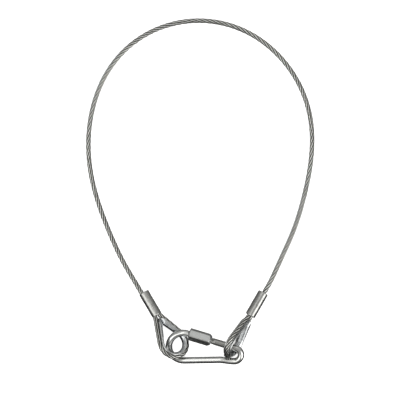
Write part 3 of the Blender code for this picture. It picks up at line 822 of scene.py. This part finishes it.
class Metal:
    """A Principled metal with a small node graph."""

    def __init__(self, name):
        self.material = bpy.data.materials.new(name)
        self.material.use_nodes = True
        self.tree = self.material.node_tree
        self.shader = self.tree.nodes["Principled BSDF"]
        self.shader.inputs["Metallic"].default_value = 1.0

    def node(self, kind, props=None, **inputs):
        made = self.tree.nodes.new(kind)
        for key, value in (props or {}).items():
            setattr(made, key, value)
        for key, value in inputs.items():
            socket = made.inputs[int(key[1:])] if key[0] == "i" and key[1:].isdigit() else made.inputs[key.replace("_", " ")]
            if isinstance(value, bpy.types.NodeSocket):
                self.tree.links.new(value, socket)
            else:
                socket.default_value = value
        return made

    def attribute(self, name):
        return self.node("ShaderNodeAttribute", {"attribute_name": name}).outputs["Fac"]

    def own(self):
        """The piece's own coordinates, in metres."""
        return self.node("ShaderNodeAttribute", {"attribute_name": "own"}).outputs["Vector"]

    def along(self):
        """Once round the piece, and along it in centimetres."""
        return self.node("ShaderNodeUVMap", {"uv_map": "Along"}).outputs["UV"]

    def scaled(self, vector, scale):
        return self.node("ShaderNodeMapping", Vector=vector, Scale=scale).outputs["Vector"]

    def noise(self, vector, scale, detail=3.0, rough=0.55, distortion=0.0):
        return self.node(
            "ShaderNodeTexNoise", Vector=vector, Scale=scale, Detail=detail, Roughness=rough, Distortion=distortion
        ).outputs["Fac"]

    def math(self, operation, a, b=0.0, clamp=False):
        return self.node("ShaderNodeMath", {"operation": operation, "use_clamp": clamp}, i0=a, i1=b).outputs[0]

    def span(self, value, low, high, to_low=0.0, to_high=1.0, smooth=False):
        return self.node(
            "ShaderNodeMapRange",
            {"interpolation_type": "SMOOTHSTEP" if smooth else "LINEAR"},
            Value=value,
            From_Min=low,
            From_Max=high,
            To_Min=to_low,
            To_Max=to_high,
        ).outputs["Result"]

    def mix(self, factor, a, b):
        made = self.tree.nodes.new("ShaderNodeMix")
        made.data_type = "RGBA"
        for socket, value in ((made.inputs[0], factor), (made.inputs[6], a), (made.inputs[7], b)):
            if isinstance(value, bpy.types.NodeSocket):
                self.tree.links.new(value, socket)
            elif isinstance(value, tuple):
                socket.default_value = (*value, 1.0)
            else:
                socket.default_value = value
        return made.outputs[2]

    def colour(self, socket):
        self.tree.links.new(socket, self.shader.inputs["Base Color"])

    def rough(self, socket):
        self.tree.links.new(socket, self.shader.inputs["Roughness"])

    def bump(self, height, strength, distance):
        made = self.node("ShaderNodeBump", Strength=strength, Distance=distance, Height=height)
        self.tree.links.new(made.outputs["Normal"], self.shader.inputs["Normal"])


def rope_metal():
    m = Metal("galvanised_wire_rope")
    uv = m.along()
    streak = m.noise(m.scaled(uv, (26.0, 1.6, 1.0)), 1.0, 4.0, 0.6)
    patch = m.noise(m.scaled(m.own(), (220.0, 220.0, 220.0)), 1.0, 3.0, 0.55)
    tone = m.attribute("tone")
    groove = m.attribute("groove")
    base = m.mix(m.span(patch, 0.3, 0.7), (0.72, 0.72, 0.69), (0.88, 0.885, 0.86))
    base = m.mix(m.math("MULTIPLY", m.span(tone, 0.0, 1.0), 0.25), base, (0.60, 0.60, 0.58))
    base = m.mix(m.span(streak, 0.54, 0.80, 0.0, 0.35), base, (0.46, 0.46, 0.44))
    # painted shade with some dirt: the grooves between strands and wires go near black
    base = m.mix(m.span(groove, 0.06, 0.62, 0.0, 0.97, True), base, (0.03, 0.03, 0.027))
    m.colour(base)
    rough = m.math("ADD", m.span(patch, 0.3, 0.7, 0.24, 0.36), m.span(groove, 0.1, 0.9, 0.0, 0.3))
    m.rough(rough)
    m.bump(streak, 0.25, 0.00003)
    return m.material


def ferrule_metal():
    m = Metal("pressed_aluminium")
    local = m.own()
    drawn = m.noise(m.scaled(local, (60.0, 2600.0, 2600.0)), 1.0, 4.0, 0.6)
    mottled = m.noise(m.scaled(local, (420.0, 420.0, 420.0)), 1.0, 5.0, 0.62, 0.6)
    blotch = m.noise(m.scaled(local, (140.0, 190.0, 190.0)), 1.0, 2.0, 0.5)
    scratch = m.node(
        "ShaderNodeTexWave",
        {"wave_type": "BANDS", "bands_direction": "DIAGONAL"},
        Vector=m.scaled(local, (1100.0, 500.0, 500.0)),
        Scale=1.0,
        Distortion=9.0,
        Detail=3.0,
        Detail_Scale=1.6,
    ).outputs["Fac"]
    worn = m.attribute("worn")
    base = m.mix(m.span(mottled, 0.32, 0.68), (0.44, 0.44, 0.43), (0.62, 0.62, 0.605))
    base = m.mix(m.span(blotch, 0.42, 0.72, 0.0, 0.4), base, (0.33, 0.33, 0.32))
    base = m.mix(m.span(scratch, 0.80, 0.98, 0.0, 0.4), base, (0.26, 0.26, 0.25))
    base = m.mix(m.math("MULTIPLY", worn, 0.5), base, (0.86, 0.86, 0.85))
    m.colour(base)
    m.rough(m.math("ADD", m.span(mottled, 0.3, 0.7, 0.20, 0.32), m.span(scratch, 0.7, 1.0, 0.0, 0.08)))
    height = m.math("ADD", m.math("MULTIPLY", drawn, 0.5), m.math("MULTIPLY", mottled, 0.6))
    height = m.math("SUBTRACT", height, m.span(scratch, 0.8, 1.0, 0.0, 0.5))
    m.bump(height, 0.35, 0.00004)
    return m.material


def thimble_metal():
    m = Metal("galvanised_sheet")
    local = m.own()
    cells = m.node("ShaderNodeTexVoronoi", {"feature": "F1"}, Vector=m.scaled(local, (620.0, 620.0, 620.0)), Scale=1.0, Randomness=1.0)
    cell = m.node("ShaderNodeSeparateColor", Color=cells.outputs["Color"]).outputs[0]
    fine = m.noise(m.scaled(local, (900.0, 900.0, 900.0)), 1.0, 4.0, 0.6)
    cloud = m.noise(m.scaled(local, (130.0, 130.0, 130.0)), 1.0, 3.0, 0.5)
    worn = m.attribute("worn")
    base = m.mix(m.span(cell, 0.0, 1.0), (0.62, 0.64, 0.66), (0.76, 0.775, 0.785))
    base = m.mix(m.span(cloud, 0.42, 0.7, 0.0, 0.45), base, (0.50, 0.52, 0.55))
    base = m.mix(m.math("MULTIPLY", worn, 0.6), base, (0.86, 0.86, 0.85))
    m.colour(base)
    m.rough(m.math("ADD", m.span(cell, 0.0, 1.0, 0.20, 0.31), m.span(fine, 0.3, 0.7, -0.02, 0.05)))
    m.bump(fine, 0.22, 0.00003)
    return m.material


def link_metal():
    m = Metal("zinc_plated_wire")
    uv = m.along()
    local = m.own()
    drawn = m.noise(m.scaled(uv, (70.0, 0.9, 1.0)), 1.0, 4.0, 0.6)
    cloud = m.noise(m.scaled(local, (150.0, 150.0, 150.0)), 1.0, 3.0, 0.55)
    specks = m.noise(m.scaled(local, (1500.0, 1500.0, 1500.0)), 1.0, 2.0, 0.5)
    root = m.attribute("root")
    worn = m.attribute("worn")
    base = m.mix(m.span(cloud, 0.3, 0.7), (0.66, 0.665, 0.65), (0.78, 0.785, 0.785))
    base = m.mix(m.span(specks, 0.62, 0.8, 0.0, 0.35), base, (0.45, 0.45, 0.44))
    # painted shade darkens the bar from the nut to the bulb
    base = m.mix(m.math("MULTIPLY", m.attribute("painted_bar_shade"), m.span(cloud, 0.3, 0.7, 0.75, 0.95)), base, (0.36, 0.36, 0.35))
    # painted shade: the thread roots go near black
    base = m.mix(m.span(root, 0.25, 1.0, 0.0, 0.9, True), base, (0.07, 0.07, 0.065))
    base = m.mix(m.math("MULTIPLY", worn, 0.5), base, (0.88, 0.88, 0.86))
    m.colour(base)
    m.rough(m.math("ADD", m.span(cloud, 0.3, 0.7, 0.13, 0.22), m.span(root, 0.2, 1.0, 0.0, 0.25)))
    m.bump(m.math("ADD", drawn, m.math("MULTIPLY", specks, 0.3)), 0.12, 0.00003)
    return m.material


def nut_metal():
    m = Metal("zinc_plated_nut")
    local = m.own()
    drawn = m.noise(m.scaled(local, (1500.0, 1500.0, 90.0)), 1.0, 4.0, 0.6)
    turned = m.noise(m.scaled(local, (60.0, 60.0, 5200.0)), 1.0, 2.0, 0.5)
    cloud = m.noise(m.scaled(local, (230.0, 230.0, 230.0)), 1.0, 4.0, 0.6)
    worn = m.attribute("worn")
    bore = m.attribute("bore")
    base = m.mix(m.span(cloud, 0.3, 0.7), (0.52, 0.53, 0.53), (0.66, 0.67, 0.67))
    base = m.mix(m.span(drawn, 0.55, 0.8, 0.0, 0.3), base, (0.46, 0.465, 0.465))
    base = m.mix(m.math("MULTIPLY", worn, 0.65), base, (0.90, 0.90, 0.89))
    # painted shade: the threaded bore goes dark
    base = m.mix(m.span(bore, 0.5, 1.0, 0.0, 0.75), base, (0.12, 0.12, 0.115))
    m.colour(base)
    m.rough(m.math("SUBTRACT", m.span(cloud, 0.3, 0.7, 0.24, 0.34), m.math("MULTIPLY", worn, 0.08)))
    m.bump(m.math("ADD", m.math("MULTIPLY", drawn, 0.7), m.math("MULTIPLY", turned, 0.5)), 0.22, 0.00003)
    return m.material


# ---------------------------------------------------------------- the object


def dress(obj, material, body, slot, *nodes):
    obj.data.materials.clear()
    obj.data.materials.append(material)
    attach(obj, body)
    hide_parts(*nodes)
    return obj


left = eye_frame(*LEFT)
right = eye_frame(*RIGHT)
link = link_frame()
rope = rope_metal()
alloy = ferrule_metal()
sheet_metal = thimble_metal()
wire = link_metal()
plated = nut_metal()

points, radii = span_path(left, right)
span = laid_rope("laid_rope_span", points, radii, 0.4, Matrix())
dress(span, rope, "tether", "wire_rope", "rope_free_span")

for side, matrix, live, phase in (("left", left, -1, 0.9), ("right", right, 1, 2.1)):
    points, radii = eye_path(live)
    eye = laid_rope(f"laid_rope_{side}_eye", points, radii, phase, matrix)
    dress(eye, rope, "tether", "wire_rope", f"rope_{side}_eye")
    dress(thimble(f"formed_{side}_thimble", matrix), sheet_metal, "tether", "thimble_steel", f"{side}_thimble")
    dress(
        ferrule(f"pressed_{side}_ferrule", matrix, live, 5 if side == "left" else 11),
        alloy,
        "tether",
        "ferrule_alloy",
        f"{side}_ferrule",
    )

dress(link_wire("bent_link_wire", link), wire, "link", "link_steel", "link_body")
dress(sleeve_nut("hex_sleeve_nut", link), plated, "nut", "nut_steel", "sleeve_nut")


# ---------------------------------------------------------------- floor, light and camera


def stage_material(name, colour, strength):
    made = bpy.data.materials.new(name)
    made.use_nodes = True
    shader = made.node_tree.nodes["Principled BSDF"]
    shader.inputs["Base Color"].default_value = (*colour, 1.0)
    shader.inputs["Roughness"].default_value = 0.9
    shader.inputs["Specular IOR Level"].default_value = 0.1
    shader.inputs["Emission Color"].default_value = (1.0, 1.0, 1.0, 1.0)
    shader.inputs["Emission Strength"].default_value = strength
    return made


def add_stage():
    size = 1.6
    data = bpy.data.meshes.new("floor")
    data.from_pydata([(-size, -size, 0), (size, -size, 0), (size, size, 0), (-size, size, 0)], [], [(0, 1, 2, 3)])
    floor = bpy.data.objects.new("floor", data)
    floor.location.z = -0.00004
    data.materials.append(stage_material("pale_floor", (0.8, 0.8, 0.8), 0.70))
    bpy.context.scene.collection.objects.link(floor)
    floor.visible_glossy = False
    bpy.ops.mesh.primitive_uv_sphere_add(segments=48, ring_count=24, radius=6.0)
    dome = bpy.context.object
    dome.name = "backdrop"
    dome.data.materials.append(stage_material("pale_backdrop", (0.0, 0.0, 0.0), 1.0))
    dome.visible_glossy = dome.visible_diffuse = dome.visible_shadow = dome.visible_transmission = False


def add_world():
    """Soft boxes overhead and to both sides on a dim studio, as what the metal reflects."""
    world = bpy.data.worlds.new("studio")
    bpy.context.scene.world = world
    world.use_nodes = True
    tree = world.node_tree
    tree.nodes.clear()
    out = tree.nodes.new("ShaderNodeOutputWorld")
    back = tree.nodes.new("ShaderNodeBackground")
    tree.links.new(back.outputs[0], out.inputs[0])
    coords = tree.nodes.new("ShaderNodeTexCoord")
    unit = tree.nodes.new("ShaderNodeVectorMath")
    unit.operation = "NORMALIZE"
    tree.links.new(coords.outputs["Generated"], unit.inputs[0])

    def number(operation, a, b=0.0, clamp=False):
        made = tree.nodes.new("ShaderNodeMath")
        made.operation = operation
        made.use_clamp = clamp
        for socket, value in ((made.inputs[0], a), (made.inputs[1], b)):
            if isinstance(value, bpy.types.NodeSocket):
                tree.links.new(value, socket)
            else:
                socket.default_value = value
        return made.outputs[0]

    def ramp(value, low, high, to_low, to_high):
        made = tree.nodes.new("ShaderNodeMapRange")
        made.interpolation_type = "SMOOTHSTEP"
        tree.links.new(value, made.inputs["Value"])
        for key, v in (("From Min", low), ("From Max", high), ("To Min", to_low), ("To Max", to_high)):
            made.inputs[key].default_value = v
        return made.outputs["Result"]

    def towards(azimuth, zenith):
        a, z = math.radians(azimuth), math.radians(zenith)
        made = tree.nodes.new("ShaderNodeVectorMath")
        made.operation = "DOT_PRODUCT"
        tree.links.new(unit.outputs[0], made.inputs[0])
        made.inputs[1].default_value = (math.sin(z) * math.cos(a), math.sin(z) * math.sin(a), math.cos(z))
        return made.outputs["Value"]

    def lobe(azimuth, zenith, outer, inner, strength):
        return ramp(towards(azimuth, zenith), math.cos(math.radians(outer)), math.cos(math.radians(inner)), 0.0, strength)

    up = towards(0, 0)
    ahead = towards(90, 90)
    right = towards(0, 90)
    level = number("MAXIMUM", up, 0.02)
    over_x, over_y = number("DIVIDE", right, level), number("DIVIDE", ahead, level)

    def softbox(x0, x1, y0, y1, soft, strength):
        """A rectangular light overhead, its edges given as tangents of the angles from straight up."""
        made = number("MULTIPLY", ramp(over_x, x0 - soft, x0 + soft, 0.0, 1.0), ramp(over_x, x1 - soft, x1 + soft, 1.0, 0.0))
        deep = number("MULTIPLY", ramp(over_y, y0 - soft, y0 + soft, 0.0, 1.0), ramp(over_y, y1 - soft, y1 + soft, 1.0, 0.0))
        return number("MULTIPLY", number("MULTIPLY", made, deep), strength)

    # a dim room: darker below and towards the front, lighter behind
    light = ramp(up, -0.35, 0.9, 0.06, 0.40)
    light = number("ADD", light, ramp(ahead, -0.75, 1.0, -0.10, 0.16))
    light = number("MAXIMUM", light, 0.03)
    for box in SOFTBOXES:
        light = number("ADD", light, softbox(*box))
    for azimuth, zenith, outer, inner, strength in LOBES:
        light = number("ADD", light, lobe(azimuth, zenith, outer, inner, strength))
    tree.links.new(light, back.inputs["Strength"])
    back.inputs["Color"].default_value = (1.0, 1.0, 0.975, 1.0)


SOFTBOXES = [
    (-0.30, -0.09, -0.50, 0.60, 0.10, 1.25),  # a strip overhead, a little to the left
]
LOBES = [
    (212, 44, 30, 11, 1.7),  # the left-hand soft box
    (-34, 60, 30, 15, 2.5),  # the right-hand soft box
    (78, 34, 24, 10, 0.34),  # the back wall's bounce
]


def add_lights():
    data = bpy.data.lights.new("overhead_softbox", "AREA")
    data.shape = "SQUARE"
    data.size = 1.6
    data.energy = 9.0
    lamp = bpy.data.objects.new("overhead_softbox", data)
    lamp.location = (0.0, 0.0, 1.1)
    bpy.context.scene.collection.objects.link(lamp)
    lamp.visible_glossy = False


def add_camera():
    data = bpy.data.cameras.new("camera")
    data.sensor_width = 36.0
    data.lens = 400.0
    data.clip_start, data.clip_end = 0.1, 20.0
    cam = bpy.data.objects.new("camera", data)
    wide = 244.0 * MM
    cam.location = (-0.15 * MM, -5.15 * MM, 1.5 * MM + wide * data.lens / data.sensor_width)
    bpy.context.scene.collection.objects.link(cam)
    bpy.context.scene.camera = cam


add_stage()
add_world()
add_lights()
add_camera()
bpy.context.scene.view_settings.view_transform = "Standard"
bpy.context.scene.view_settings.look = "None"
